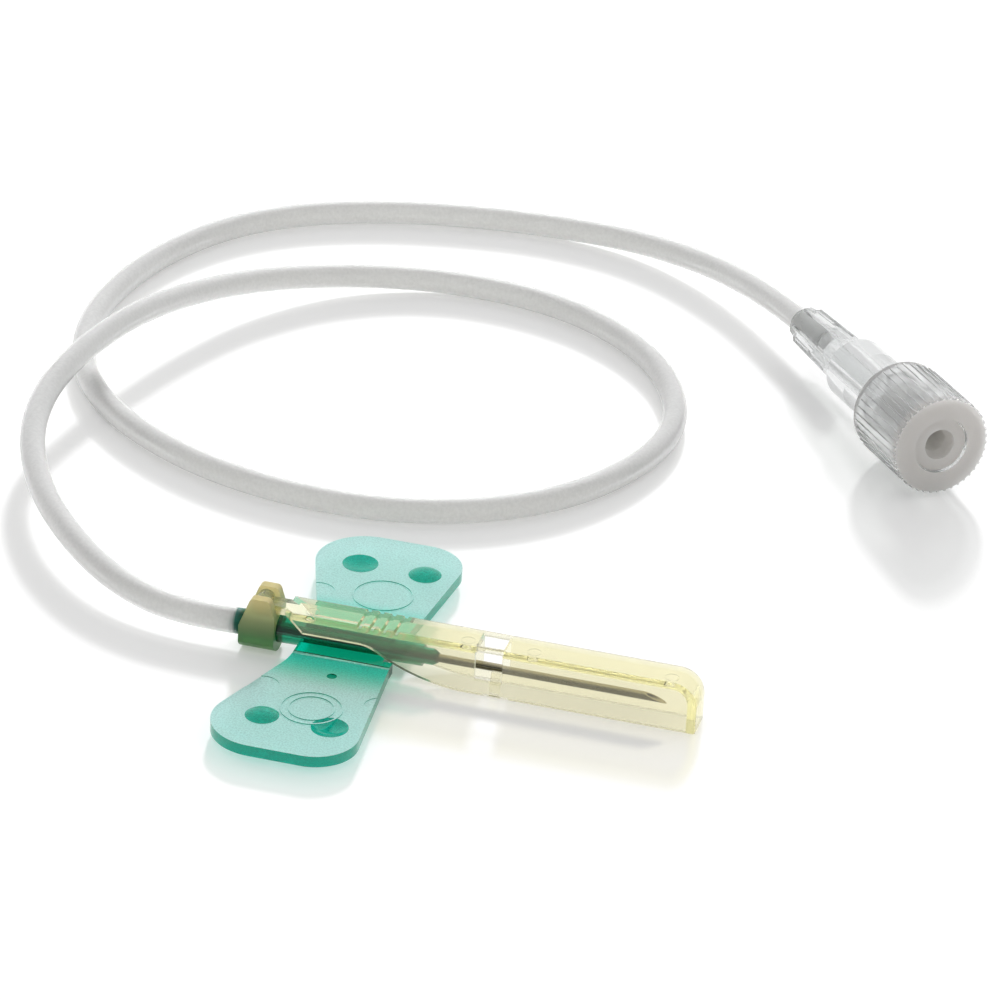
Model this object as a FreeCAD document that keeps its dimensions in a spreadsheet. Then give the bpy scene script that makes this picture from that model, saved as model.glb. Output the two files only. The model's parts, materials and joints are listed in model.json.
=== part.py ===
import FreeCAD, Part
import Sketcher

import math
import os

# Safety winged infusion set, in millimetres.
# X runs from the tube towards the needle's tip, Y across the wings, Z up.
# The origin is on the table, below the middle of the needle unit.

DOCUMENT = FreeCAD.newDocument("safety_winged_infusion_set")

# Driving dimensions
SIZES = {
    # hub, a tapered tube that carries the needle and both wings
    "spigot_length": 1.3,
    "spigot_radius": 0.72,
    "seat_radius": 1.2,
    "hub_length": 14.2,
    "hub_rear_radius": 1.35,
    "hub_front_radius": 1.05,
    "nose_length": 1.0,
    "nose_radius": 0.78,
    "nose_cone_length": 0.5,
    "nose_tip_radius": 0.48,
    # needle
    "needle_radius": 0.4,
    "needle_bore_radius": 0.26,
    "needle_reach": 22.0,
    "bevel_length": 2.4,
    # wings
    "root_rear_gap": 2.35,
    "root_length": 9.4,
    "notch_depth": 0.95,
    "notch_half_width": 2.05,
    "fold_half_width": 3.15,
    "plate_drop": 0.35,
    "plate_thickness": 1.1,
    "groove_depth": 0.25,
    "film_gap": 0.04,
    "wing_span": 41.8,
    "root_straight": 1.3,
    "rear_flare": 5.6,
    "front_flare": 1.55,
    "wing_rear_round": 5.0,
    "wing_front_round": 4.2,
    "wing_root_fillet": 7.0,
    "root_fillet_gap": 0.1,
    "dimple_span": 30.5,
    "rear_dimple_inset": 0.9,
    "dimple_pitch": 6.5,
    "dome_radius": 1.6,
    "dome_height": 0.55,
    "recess_radius": 1.75,
    "recess_depth": 0.5,
    "left_ring_place": 9.96,
    "right_ring_place": 12.56,
    "ring_inset": 4.8,
    "ring_radius": 2.95,
    "inner_ring_radius": 2.2,
    "ring_width": 0.16,
    "ring_height": 0.08,
    "dot_place": 6.33,
    "dot_radius": 0.48,
    "dot_depth": 0.12,
    "mark_radius": 1.6,
    "mark_depth": 0.06,
    "left_mark_inset": -1.3,
    "left_mark_place": 8.74,
    "right_mark_inset": -0.8,
    "right_mark_place": 10.0,
    "front_mark_reach": 1.3,
    # collar with its two hinge ears
    "collar_length": 3.5,
    "collar_radius": 2.2,
    "collar_width": 3.74,
    "collar_fit": 0.05,
    "collar_shoulder": 0.6,
    "ear_rise": 3.65,
    "ear_rear_setback": 1.15,
    "ear_front_setback": 0.55,
    "ear_front_height": 1.75,
    "ear_slot": 1.9,
    "slot_wall": 0.45,
    "ear_round": 0.45,
    # hinge
    "pin_setback": 1.93,
    "pin_rise": 2.65,
    "pin_radius": 0.45,
    "pin_fit": 0.05,
    "eye_depth": 0.7,
    "pin_end_gap": 0.05,
    "knuckle_radius": 0.8,
    "knuckle_side_gap": 0.1,
    # shield
    "shield_gap": 1.0,
    "roof": 0.85,
    "roof_to_hub": 0.6,
    "shield_width": 3.5,
    "side_wall": 0.45,
    "end_wall": 0.9,
    "tip_clearance": 2.25,
    "nose_round": 2.4,
    "shallow_side": 2.0,
    "rear_face": 0.2,
    "rear_slope": 1.75,
    "drop_setback": 7.15,
    "drop_radius": 3.5,
    "drop_angle": 31.0,
    "grip_setback": 7.3,
    "grip_count": 4.0,
    "grip_pitch": 1.19,
    "grip_width": 0.62,
    "grip_depth": 0.32,
    "window_setback": 18.56,
    "window_length": 2.66,
    "window_sill": 1.44,
    "window_rail": 0.45,
    "hook_width": 0.95,
    "hook_root_sink": 0.1,
    "hook_root_width": 0.3,
    "hook_foot": 0.1,
    "hook_root_top": 0.9,
    "hook_offset": 0.1,
    "hook_tip_gap": 0.06,
    "hook_thickness": 0.4,
    "ejector_rear": 2.2,
    "ejector_middle": 17.4,
    "ejector_front": 23.8,
    "ejector_tip": 37.0,
    "ejector_radius": 0.65,
    "ejector_depth": 0.08,
    "shield_edge_radius": 0.25,
    # tube
    "tube_radius": 1.25,
    "tube_bore_radius": 0.77,
    # lock connector
    "socket_radius": 1.28,
    "socket_depth": 6.0,
    "connector_rear_radius": 1.6,
    "connector_waist": 8.5,
    "connector_waist_radius": 1.9,
    "connector_flare": 4.0,
    "barrel_radius": 3.35,
    "barrel_end": 22.2,
    "mouth_radius": 3.1,
    "connector_length": 28.2,
    "passage_radius": 0.9,
    "cone_mouth_radius": 2.15,
    "cone_depth": 9.0,
    "cone_taper": 0.03,
    "fin_count": 4.0,
    "fin_start": 0.6,
    "fin_root_gap": 0.15,
    "fin_front_drop": 0.2,
    "fin_step_height": 0.35,
    "fin_length": 12.2,
    "fin_thickness": 0.8,
    "fin_rear_radius": 1.95,
    "fin_step": 3.0,
    "fin_radius": 2.7,
    "lug_count": 2.0,
    "lug_sink": 0.5,
    "lug_length": 1.2,
    "lug_width": 2.6,
    "lug_radius": 3.75,
    # closing cap
    "cap_length": 9.8,
    "cap_gap": 0.2,
    "cap_radius": 5.0,
    "cap_rib_height": 0.15,
    "cap_rib_width": 0.36,
    "cap_rib_count": 42.0,
    "cap_rib_sink": 0.1,
    "cap_rim": 0.7,
    "cap_bore_radius": 4.15,
    "cap_front_wall": 1.6,
    "plug_fit": 0.03,
    "plug_length": 7.5,
    "plug_bore_radius": 1.2,
    "face_hole_radius": 1.6,
    "face_ring_radius": 2.8,
    "face_ring_depth": 0.35,
    "face_hole_depth": 1.0,
    "face_hole_cone": 0.6,
    "face_ring_slope": 0.1,
    # place of the connector's rear end, and the way it points
    "connector_x": 14.5,
    "connector_y": 77.6,
    "connector_height": 3.94,
    "connector_turn": 52.0,
    "connector_tilt": 3.0,
}

SHEET = DOCUMENT.addObject("Spreadsheet::Sheet", "Sizes")
for row, (alias, number) in enumerate(SIZES.items(), start=1):
    SHEET.set(f"A{row}", alias)
    SHEET.set(f"B{row}", str(number))
    SHEET.setAlias(f"B{row}", alias)
DOCUMENT.recompute()


def value(expression):
    """Number that an expression over the sheet's sizes gives."""
    result = SHEET.evalExpression(expression)
    return float(getattr(result, "Value", result))


# Stations along the needle unit, as expressions over the sheet
REAR_TO_TIP = (
    "(Sizes.spigot_length + Sizes.collar_length + Sizes.hub_length + Sizes.nose_length"
    " + Sizes.nose_cone_length + Sizes.needle_reach)"
)
REAR_X = f"(-({REAR_TO_TIP} + Sizes.tip_clearance + Sizes.end_wall) / 2)"
COLLAR_X = f"({REAR_X} + Sizes.spigot_length)"
COLLAR_FRONT_X = f"({COLLAR_X} + Sizes.collar_length)"
HUB_FRONT_X = f"({COLLAR_FRONT_X} + Sizes.hub_length)"
NOSE_X = f"({HUB_FRONT_X} + Sizes.nose_length)"
NOSE_TIP_X = f"({NOSE_X} + Sizes.nose_cone_length)"
NEEDLE_TIP_X = f"({NOSE_TIP_X} + Sizes.needle_reach)"
SHIELD_INNER_X = f"({NEEDLE_TIP_X} + Sizes.tip_clearance)"
SHIELD_END_X = f"({SHIELD_INNER_X} + Sizes.end_wall)"
PIN_X = f"({COLLAR_X} + Sizes.pin_setback)"
SHIELD_X = f"({COLLAR_FRONT_X} + Sizes.shield_gap)"
ROOT_X = f"({COLLAR_FRONT_X} + Sizes.root_rear_gap)"
ROOT_FRONT_X = f"({ROOT_X} + Sizes.root_length)"

# Heights: the collar's ring rests on the table
AXIS_Z = "Sizes.collar_radius"
PIN_Z = f"({AXIS_Z} + Sizes.pin_rise)"
EAR_TOP_Z = f"({AXIS_Z} + Sizes.ear_rise)"
PLATE_TOP_Z = f"({AXIS_Z} - Sizes.plate_drop)"
PLATE_Z = f"({PLATE_TOP_Z} - Sizes.plate_thickness)"
CEILING_Z = f"({AXIS_Z} + Sizes.hub_rear_radius + Sizes.roof_to_hub)"
SHIELD_TOP_Z = f"({CEILING_Z} + Sizes.roof)"

# Half widths
CHANNEL_HALF = "(Sizes.shield_width / 2 - Sizes.side_wall)"
KNUCKLE_WIDTH = "(Sizes.ear_slot - 2 * Sizes.knuckle_side_gap)"


def body_named(name):
    """New body that carries one piece."""
    body = DOCUMENT.addObject("PartDesign::Body", name)
    body.Label = name
    return body


def sketch_on(body, name, plane, shift=("0", "0", "0")):
    """Sketch on one of the body's own origin planes, moved by three expressions."""
    sketch = body.newObject("Sketcher::SketchObject", name)
    support = [item for item in body.Origin.OriginFeatures if item.Role == plane][0]
    sketch.AttachmentSupport = [(support, "")]
    sketch.MapMode = "FlatFace"
    for letter, expression in zip("xyz", shift):
        if expression != "0":
            sketch.setExpression(f"AttachmentOffset.Base.{letter}", expression)
    return sketch


def pin_point(sketch, geometry, position, across, along):
    """Fix a point of the sketch by two expressions."""
    for kind, expression in (("DistanceX", across), ("DistanceY", along)):
        number = value(expression)
        index = sketch.addConstraint(Sketcher.Constraint(kind, -1, 1, geometry, position, number))
        sketch.setExpression(f"Constraints[{index}]", expression)


def arc_between(start, end, radius, side):
    """Arc from start to end; side is 1 with its centre on the left, -1 on the right."""
    chord = end - start
    middle = (start + end) * 0.5
    normal = FreeCAD.Vector(-chord.y, chord.x, 0).normalize() * side
    centre = middle + normal * math.sqrt(max(radius ** 2 - (chord.Length / 2) ** 2, 0.0))
    first, last = (start, end) if side > 0 else (end, start)
    first_angle = math.atan2(first.y - centre.y, first.x - centre.x)
    last_angle = math.atan2(last.y - centre.y, last.x - centre.x)
    if last_angle < first_angle:
        last_angle += 2 * math.pi
    circle = Part.Circle(centre, FreeCAD.Vector(0, 0, 1), radius)
    return Part.ArcOfCircle(circle, first_angle, last_angle)


def draw_outline(sketch, corners):
    """Closed outline. A corner is (x, y), or (x, y, radius, side) where an arc leads on."""
    points = [FreeCAD.Vector(value(corner[0]), value(corner[1]), 0) for corner in corners]
    ends = []
    for index, corner in enumerate(corners):
        start = points[index]
        end = points[(index + 1) % len(points)]
        if len(corner) == 2:
            geometry = sketch.addGeometry(Part.LineSegment(start, end))
            ends.append((geometry, 1, 2))
            continue
        geometry = sketch.addGeometry(arc_between(start, end, value(corner[2]), corner[3]))
        ends.append((geometry, 1, 2) if corner[3] > 0 else (geometry, 2, 1))
    for index, corner in enumerate(corners):
        geometry, first, last = ends[index]
        following, next_first, _ = ends[(index + 1) % len(ends)]
        sketch.addConstraint(Sketcher.Constraint("Coincident", geometry, last, following, next_first))
        pin_point(sketch, geometry, first, corner[0], corner[1])
        if len(corner) > 2:
            radius = Sketcher.Constraint("Radius", geometry, value(corner[2]))
            constraint = sketch.addConstraint(radius)
            sketch.setExpression(f"Constraints[{constraint}]", corner[2])


def draw_circle(sketch, across, along, radius):
    """Circle fixed by expressions."""
    centre = FreeCAD.Vector(value(across), value(along), 0)
    circle = Part.Circle(centre, FreeCAD.Vector(0, 0, 1), value(radius))
    geometry = sketch.addGeometry(circle)
    pin_point(sketch, geometry, 3, across, along)
    constraint = sketch.addConstraint(Sketcher.Constraint("Radius", geometry, value(radius)))
    sketch.setExpression(f"Constraints[{constraint}]", radius)


def extrude(body, kind, name, sketch, length, symmetric=False, reverse=False):
    """Pad or pocket of a sketch by the length that an expression gives."""
    feature = body.newObject(f"PartDesign::{kind}", name)
    feature.Profile = sketch
    feature.Type = "Length"
    feature.setExpression("Length", length)
    if symmetric:
        feature.SideType = "Symmetric"
    feature.Reversed = reverse
    DOCUMENT.recompute()
    return feature


def turn(body, kind, name, sketch, axis):
    """Revolution or groove of a sketch about its own horizontal or vertical axis."""
    feature = body.newObject(f"PartDesign::{kind}", name)
    feature.Profile = sketch
    feature.ReferenceAxis = (sketch, [axis])
    feature.Angle = 360
    DOCUMENT.recompute()
    return feature


def polar(body, name, original, sketch, count):
    """Copies of a feature about the sketch's horizontal axis."""
    feature = body.newObject("PartDesign::PolarPattern", name)
    feature.Originals = [original]
    feature.Axis = (sketch, ["H_Axis"])
    feature.Angle = 360
    feature.setExpression("Occurrences", count)
    body.Tip = feature
    DOCUMENT.recompute()
    return feature


def round_edges(body, name, radius, wanted):
    """Fillet on the edges of the body's tip that a test picks."""
    base = body.Tip
    names = [f"Edge{index}" for index, edge in enumerate(base.Shape.Edges, start=1) if wanted(edge)]
    feature = body.newObject("PartDesign::Fillet", name)
    feature.Base = (base, names)
    feature.setExpression("Radius", radius)
    DOCUMENT.recompute()
    return feature


def rectangle(x_low, y_low, x_high, y_high):
    """Corners of a rectangle."""
    return [(x_low, y_low), (x_high, y_low), (x_high, y_high), (x_low, y_high)]


def make_hub():
    """Tapered tube with a rear spigot, a seat for the collar and the roots of both wings."""
    body = body_named("hub")
    turned = sketch_on(body, "hub_profile", "XZ_Plane", ("0", AXIS_Z, "0"))
    draw_outline(turned, [
        (REAR_X, "0"),
        (NOSE_TIP_X, "0"),
        (NOSE_TIP_X, "Sizes.nose_tip_radius"),
        (NOSE_X, "Sizes.nose_radius"),
        (HUB_FRONT_X, "Sizes.nose_radius"),
        (HUB_FRONT_X, "Sizes.hub_front_radius"),
        (COLLAR_FRONT_X, "Sizes.hub_rear_radius"),
        (COLLAR_FRONT_X, "Sizes.seat_radius"),
        (COLLAR_X, "Sizes.seat_radius"),
        (COLLAR_X, "Sizes.spigot_radius"),
        (REAR_X, "Sizes.spigot_radius"),
    ])
    turn(body, "Revolution", "hub_turned", turned, "H_Axis")
    half = "(Sizes.fold_half_width - Sizes.film_gap / 2)"
    root = sketch_on(body, "root_section", "YZ_Plane", ("0", "0", ROOT_X))
    draw_outline(root, [
        (f"-{half}", PLATE_Z),
        (half, PLATE_Z),
        (half, f"{PLATE_TOP_Z} - Sizes.groove_depth"),
        (f"{half} - Sizes.groove_depth", PLATE_TOP_Z),
        (f"-({half} - Sizes.groove_depth)", PLATE_TOP_Z),
        (f"-{half}", f"{PLATE_TOP_Z} - Sizes.groove_depth"),
    ])
    extrude(body, "Pad", "wing_roots", root, "Sizes.root_length - Sizes.notch_depth")
    # In front the plate is notched, so that the shield's walls pass it
    tabs = sketch_on(body, "root_tab_section", "YZ_Plane", ("0", "0", ROOT_X))
    for sign in ("", "-"):
        draw_outline(tabs, [
            (f"{sign}Sizes.notch_half_width", PLATE_Z),
            (f"{sign}{half}", PLATE_Z),
            (f"{sign}{half}", f"{PLATE_TOP_Z} - Sizes.groove_depth"),
            (f"{sign}({half} - Sizes.groove_depth)", PLATE_TOP_Z),
            (f"{sign}Sizes.notch_half_width", PLATE_TOP_Z),
        ])
    extrude(body, "Pad", "wing_root_tabs", tabs, "Sizes.root_length")
    bore = sketch_on(body, "bore_profile", "XZ_Plane", ("0", AXIS_Z, "0"))
    draw_outline(bore, rectangle(f"{REAR_X} - 1", "0", f"{NOSE_TIP_X} + 1", "Sizes.needle_radius"))
    turn(body, "Groove", "needle_bore", bore, "H_Axis")
    return body


def make_needle():
    """Hollow steel needle with a bevelled tip, held along the whole hub."""
    body = body_named("needle")
    ring = sketch_on(body, "needle_section", "XZ_Plane", ("0", AXIS_Z, "0"))
    draw_outline(ring, rectangle(REAR_X, "Sizes.needle_bore_radius", NEEDLE_TIP_X, "Sizes.needle_radius"))
    turn(body, "Revolution", "needle_tube", ring, "H_Axis")
    bevel = sketch_on(body, "bevel_profile", "XZ_Plane", ("0", AXIS_Z, "0"))
    draw_outline(bevel, [
        (NEEDLE_TIP_X, "-Sizes.needle_radius"),
        (f"{NEEDLE_TIP_X} + 1", "-Sizes.needle_radius"),
        (f"{NEEDLE_TIP_X} + 1", "Sizes.needle_radius + 1"),
        (f"{NEEDLE_TIP_X} - Sizes.bevel_length", "Sizes.needle_radius + 1"),
        (f"{NEEDLE_TIP_X} - Sizes.bevel_length", "Sizes.needle_radius"),
    ])
    extrude(body, "Pocket", "needle_bevel", bevel, "Sizes.needle_radius * 4", symmetric=True)
    return body


def make_wing(name, side):
    """Wing plate outside the fold line. Side is 1 for the left wing and -1 for the right one."""
    body = body_named(name)
    sign = "" if side > 0 else "-"
    fold = "(Sizes.fold_half_width + Sizes.film_gap / 2)"
    tip = "(Sizes.wing_span / 2)"
    plan = sketch_on(body, f"{name}_plan", "XY_Plane", ("0", "0", PLATE_Z))
    draw_outline(plan, [
        (ROOT_X, f"{sign}{fold}"),
        (ROOT_X, f"{sign}({fold} + Sizes.root_straight)"),
        (f"{ROOT_X} - Sizes.rear_flare", f"{sign}{tip}"),
        (f"{ROOT_FRONT_X} + Sizes.front_flare", f"{sign}{tip}"),
        (ROOT_FRONT_X, f"{sign}{fold}"),
    ])
    extrude(body, "Pad", f"{name}_plate", plan, "Sizes.plate_thickness")
    tip_y = value(tip)
    middle_x = value(f"({ROOT_X} + {ROOT_FRONT_X}) / 2")

    def rear_corner(edge):
        box = edge.BoundBox
        return box.ZLength > 0.5 and abs(abs(box.YMin) - tip_y) < 0.01 and box.XMax < middle_x

    def front_corner(edge):
        box = edge.BoundBox
        return box.ZLength > 0.5 and abs(abs(box.YMin) - tip_y) < 0.01 and box.XMin > middle_x

    def root_corner(edge):
        box = edge.BoundBox
        straight = value(f"{fold} + Sizes.root_straight")
        return box.ZLength > 0.5 and abs(abs(box.YMin) - straight) < 0.01

    round_edges(body, f"{name}_rear_corner", "Sizes.wing_rear_round", rear_corner)
    round_edges(body, f"{name}_front_corner", "Sizes.wing_front_round", front_corner)
    # The neck's fillet ends on the straight part of the root
    reach = f"({tip} - {fold} - Sizes.root_straight)"
    tangent = "(Sizes.root_straight - Sizes.root_fillet_gap)"
    neck_limit = f"{tangent} / tan(atan(Sizes.rear_flare / {reach}) / 2)"
    round_edges(body, f"{name}_neck", f"min(Sizes.wing_root_fillet; {neck_limit})", root_corner)
    bevel = sketch_on(body, f"{name}_fold", "YZ_Plane")
    draw_outline(bevel, [
        (f"{sign}{fold}", f"{PLATE_TOP_Z} - Sizes.groove_depth"),
        (f"{sign}({fold} + Sizes.groove_depth)", PLATE_TOP_Z),
        (f"{sign}({fold} + Sizes.groove_depth)", f"{PLATE_TOP_Z} + 1"),
        (f"{sign}({fold} - 1)", f"{PLATE_TOP_Z} + 1"),
        (f"{sign}({fold} - 1)", f"{PLATE_TOP_Z} - Sizes.groove_depth"),
    ])
    extrude(body, "Pocket", f"{name}_groove", bevel, "Sizes.wing_span * 2", symmetric=True)
    # One wing has its recess behind and its dome in front, the other the other way round,
    # so that each dome enters the facing recess when both wings are raised.
    rear_x = f"({ROOT_X} + Sizes.rear_dimple_inset)"
    front_x = f"({rear_x} + Sizes.dimple_pitch)"
    recess_x, dome_x = (rear_x, front_x) if side > 0 else (front_x, rear_x)
    depth = "-Sizes.dimple_span / 2" if side > 0 else "Sizes.dimple_span / 2"
    dome_ball = "(Sizes.dome_radius ^ 2 + Sizes.dome_height ^ 2) / (2 * Sizes.dome_height)"
    recess_ball = "(Sizes.recess_radius ^ 2 + Sizes.recess_depth ^ 2) / (2 * Sizes.recess_depth)"
    dome = sketch_on(body, f"{name}_dome_profile", "XZ_Plane", (dome_x, PLATE_TOP_Z, depth))
    draw_outline(dome, [
        ("0", "Sizes.dome_height", dome_ball, -1),
        ("Sizes.dome_radius", "0"),
        ("Sizes.dome_radius", "-Sizes.plate_thickness / 2"),
        ("0", "-Sizes.plate_thickness / 2"),
    ])
    turn(body, "Revolution", f"{name}_dome", dome, "V_Axis")
    recess = sketch_on(body, f"{name}_recess_profile", "XZ_Plane", (recess_x, PLATE_TOP_Z, depth))
    draw_outline(recess, [
        ("0", "-Sizes.recess_depth", recess_ball, 1),
        ("Sizes.recess_radius", "0"),
        ("Sizes.recess_radius", "1"),
        ("0", "1"),
    ])
    turn(body, "Groove", f"{name}_recess", recess, "V_Axis")
    # The left wing bears one raised ring, the right wing two and a small dot by its root
    ring = sketch_on(body, f"{name}_ring_plan", "XY_Plane", ("0", "0", PLATE_TOP_Z))
    ring_x = f"({ROOT_X} + Sizes.ring_inset)"
    ring_y = "Sizes.left_ring_place" if side > 0 else "-Sizes.right_ring_place"
    radii = ("Sizes.ring_radius",) if side > 0 else ("Sizes.ring_radius", "Sizes.inner_ring_radius")
    for radius in radii:
        draw_circle(ring, ring_x, ring_y, radius)
        draw_circle(ring, ring_x, ring_y, f"{radius} - Sizes.ring_width")
    extrude(body, "Pad", f"{name}_ring", ring, "Sizes.ring_height")
    if side < 0:
        dot = sketch_on(body, f"{name}_dot_plan", "XY_Plane", ("0", "0", PLATE_TOP_Z))
        draw_circle(dot, ring_x, "-Sizes.dot_place", "Sizes.dot_radius")
        extrude(body, "Pocket", f"{name}_dot", dot, "Sizes.dot_depth")
    # Shallow round marks that the outline cuts
    marks = sketch_on(body, f"{name}_mark_plan", "XY_Plane", ("0", "0", PLATE_TOP_Z))
    if side > 0:
        draw_circle(marks, f"{ROOT_X} + Sizes.left_mark_inset", "Sizes.left_mark_place", "Sizes.mark_radius")
    else:
        right_mark_y = "-Sizes.right_mark_place"
        draw_circle(marks, f"{ROOT_X} + Sizes.right_mark_inset", right_mark_y, "Sizes.mark_radius")
        draw_circle(marks, f"{ROOT_FRONT_X} + Sizes.front_mark_reach", right_mark_y, "Sizes.mark_radius")
    extrude(body, "Pocket", f"{name}_marks", marks, "Sizes.mark_depth")
    return body


def make_collar():
    """Ring clipped on the hub's seat, with two ears that carry the shield's hinge."""
    body = body_named("hinge_collar")
    half = "(Sizes.collar_width / 2)"
    shoulder = f"({AXIS_Z} - sqrt(Sizes.collar_radius ^ 2 - {half} ^ 2))"
    section = sketch_on(body, "collar_section", "YZ_Plane", ("0", "0", COLLAR_X))
    draw_outline(section, [
        (f"-{half}", shoulder, "Sizes.collar_radius", 1),
        (half, shoulder),
        (half, EAR_TOP_Z),
        (f"-{half}", EAR_TOP_Z),
    ])
    extrude(body, "Pad", "collar_block", section, "Sizes.collar_length")
    through = "Sizes.collar_width + 2"
    rear = sketch_on(body, "rear_slope", "XZ_Plane")
    draw_outline(rear, [
        (f"{COLLAR_X} - 1", f"{AXIS_Z} + Sizes.collar_shoulder"),
        (COLLAR_X, f"{AXIS_Z} + Sizes.collar_shoulder"),
        (f"{COLLAR_X} + Sizes.ear_rear_setback", EAR_TOP_Z),
        (f"{COLLAR_X} + Sizes.ear_rear_setback", f"{EAR_TOP_Z} + 1"),
        (f"{COLLAR_X} - 1", f"{EAR_TOP_Z} + 1"),
    ])
    extrude(body, "Pocket", "rear_cut", rear, through, symmetric=True)
    front = sketch_on(body, "front_slope", "XZ_Plane")
    draw_outline(front, [
        (f"{COLLAR_FRONT_X} + 1", f"{EAR_TOP_Z} - Sizes.ear_front_height"),
        (f"{COLLAR_FRONT_X} + 1", f"{EAR_TOP_Z} + 1"),
        (f"{COLLAR_FRONT_X} - Sizes.ear_front_setback", f"{EAR_TOP_Z} + 1"),
        (f"{COLLAR_FRONT_X} - Sizes.ear_front_setback", EAR_TOP_Z),
        (COLLAR_FRONT_X, f"{EAR_TOP_Z} - Sizes.ear_front_height"),
    ])
    extrude(body, "Pocket", "front_cut", front, through, symmetric=True)
    top_z = value(EAR_TOP_Z)

    def ear_tip(edge):
        box = edge.BoundBox
        return box.YLength > 1 and abs(box.ZMin - top_z) < 0.01 and box.XLength < 0.01

    round_edges(body, "ear_tips", "Sizes.ear_round", ear_tip)
    slot = sketch_on(body, "slot_profile", "XZ_Plane")
    floor_z = f"({AXIS_Z} + Sizes.seat_radius + Sizes.collar_fit + Sizes.slot_wall)"
    draw_outline(slot, rectangle(f"{COLLAR_X} - 1", floor_z, f"{COLLAR_FRONT_X} + 1", f"{EAR_TOP_Z} + 1"))
    extrude(body, "Pocket", "ear_slot", slot, "Sizes.ear_slot", symmetric=True)
    bore = sketch_on(body, "collar_bore_profile", "XZ_Plane", ("0", AXIS_Z, "0"))
    reach = "(Sizes.seat_radius + Sizes.collar_fit)"
    draw_outline(bore, rectangle(f"{COLLAR_X} - 1", "0", f"{COLLAR_FRONT_X} + 1", reach))
    turn(body, "Groove", "collar_bore", bore, "H_Axis")
    eye = sketch_on(body, "eye_profile", "XZ_Plane")
    draw_circle(eye, PIN_X, PIN_Z, "Sizes.pin_radius + Sizes.pin_fit")
    extrude(body, "Pocket", "hinge_eyes", eye, "Sizes.ear_slot + 2 * Sizes.eye_depth", symmetric=True)
    return body


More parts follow.
